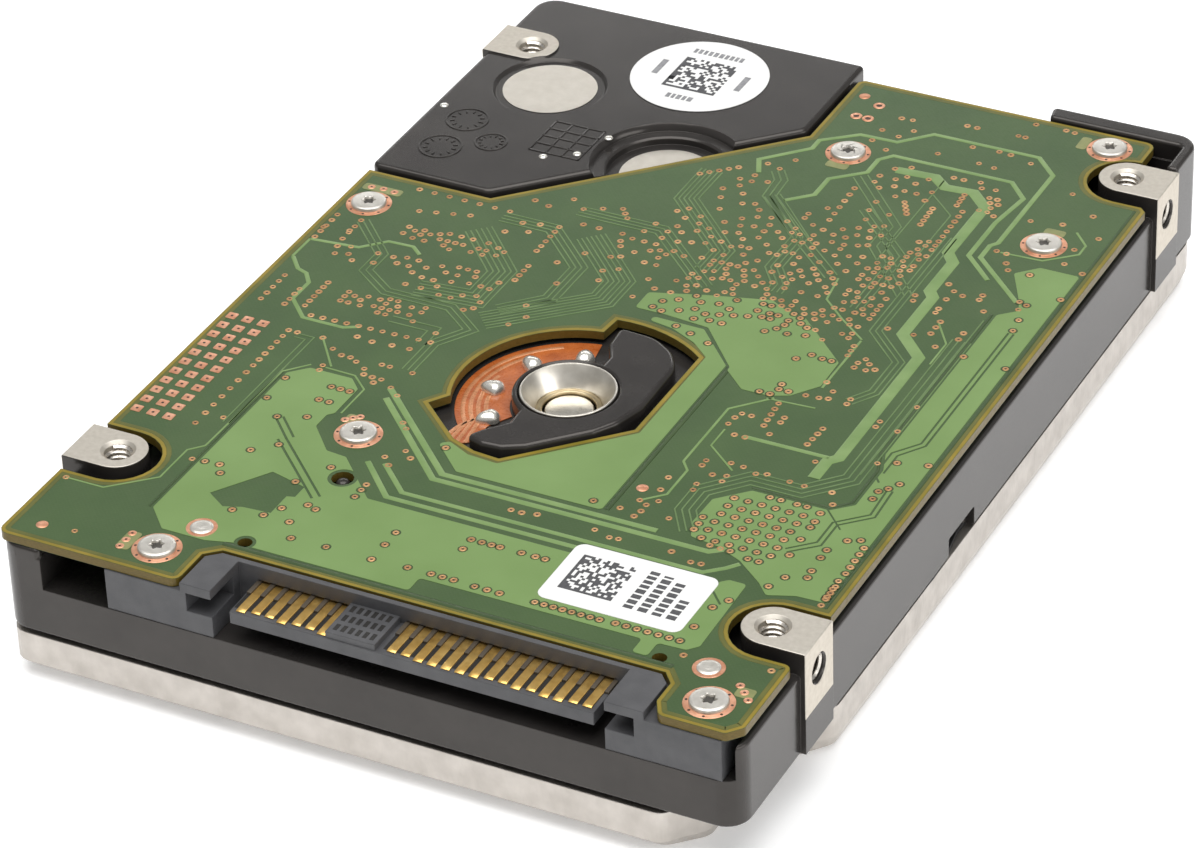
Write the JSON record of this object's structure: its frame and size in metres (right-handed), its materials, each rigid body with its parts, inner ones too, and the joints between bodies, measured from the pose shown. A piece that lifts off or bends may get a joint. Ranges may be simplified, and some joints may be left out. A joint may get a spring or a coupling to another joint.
{
  "type": "hard disk drive",
  "caption": "Thin enterprise hard disk drive with a black casting, silver cover, green circuit board and edge plug; platters and head actuator move inside.",
  "frame": {"origin": "centre of the bounding box at the outside of the cover", "axes": "-Y towards the connector end, +X towards the side with the power contacts, +Z from the cover towards the circuit board and the mounting pads"},
  "size_m": [0.0698, 0.1002, 0.015],
  "materials": {
    "coated_casting": "gloss black electrocoat",
    "bare_aluminium": "machined",
    "rubber": "matt",
    "screw_steel": "plated",
    "solder_mask": "green solder mask over glass fibre",
    "insulator_film": "matt film",
    "connector_plastic": "moulded, dark grey",
    "gold": "gold plated",
    "chip_plastic": "moulded",
    "polyimide": "amber film with copper",
    "turned_steel": "turned",
    "tin": "tinned",
    "steel_laminate": "stacked sheet",
    "nickel": "nickel plated",
    "ramp_plastic": "natural",
    "foil": "satin adhesive foil",
    "paper": "matt white label",
    "platter": "polished",
    "copper_wire": "enamelled copper"
  },
  "bodies": {
    "chassis": {"base_casting": "coated_casting", "top_cover": "bare_aluminium", "cover_gasket": "rubber", "circuit_board": "solder_mask", "board_insulator": "insulator_film", "controller_chip": "chip_plastic", "motor_driver_chip": "chip_plastic", "board_label": "paper", "connector_housing": "connector_plastic", "signal_contacts": "gold", "power_contacts": "gold", "foil_seal_1": "foil", "foil_seal_2": "foil", "round_label": "paper", "spindle_shaft": "turned_steel", "bearing_cup": "turned_steel", "stator": "steel_laminate", "motor_flex": "polyimide", "pivot_shaft": "turned_steel", "lower_yoke": "nickel", "upper_yoke": "nickel", "lower_magnet": "nickel", "upper_magnet": "nickel", "crash_stop": "rubber", "load_ramp": "ramp_plastic", "flex_bracket": "ramp_plastic", "actuator_flex": "polyimide", "cover_screw_1": "screw_steel", "cover_screw_2": "screw_steel", "cover_screw_3": "screw_steel", "cover_screw_4": "screw_steel", "cover_screw_5": "screw_steel", "cover_screw_6": "screw_steel", "board_screw_1": "screw_steel", "board_screw_2": "screw_steel", "board_screw_3": "screw_steel", "board_screw_4": "screw_steel", "board_screw_5": "screw_steel", "board_screw_6": "screw_steel", "board_screw_7": "screw_steel", "solder_peg_1": "tin", "solder_peg_2": "tin"},
    "rotor": {"spindle_hub": "bare_aluminium", "disk_clamp": "screw_steel", "rotor_magnet": "nickel", "disk_1": "platter", "disk_2": "platter", "disk_3": "platter", "disk_spacer_1": "bare_aluminium", "disk_spacer_2": "bare_aluminium"},
    "actuator": {"actuator_block": "bare_aluminium", "pivot_bearing": "turned_steel", "voice_coil": "copper_wire", "suspension_1": "nickel", "suspension_2": "nickel", "suspension_3": "nickel", "suspension_4": "nickel", "suspension_5": "nickel", "suspension_6": "nickel"},
    "latch": {"latch_lever": "ramp_plastic"}
  },
  "joints": [
    {"name": "spindle_spin", "type": "hinge", "parent": "chassis", "child": "rotor", "pos_m": [0, -0.012, 0.006], "axis": [0, 0, 1], "continuous": true},
    {"name": "actuator_swing", "type": "hinge", "parent": "chassis", "child": "actuator", "pos_m": [-0.00925, 0.0261, 0.0056], "axis": [0, 0, 1], "range_deg": [-34, 0]},
    {"name": "latch_swing", "type": "hinge", "parent": "chassis", "child": "latch", "pos_m": [-0.0285, 0.0195, 0.0064], "axis": [0, 0, 1], "range_deg": [0, 8]}
  ]
}
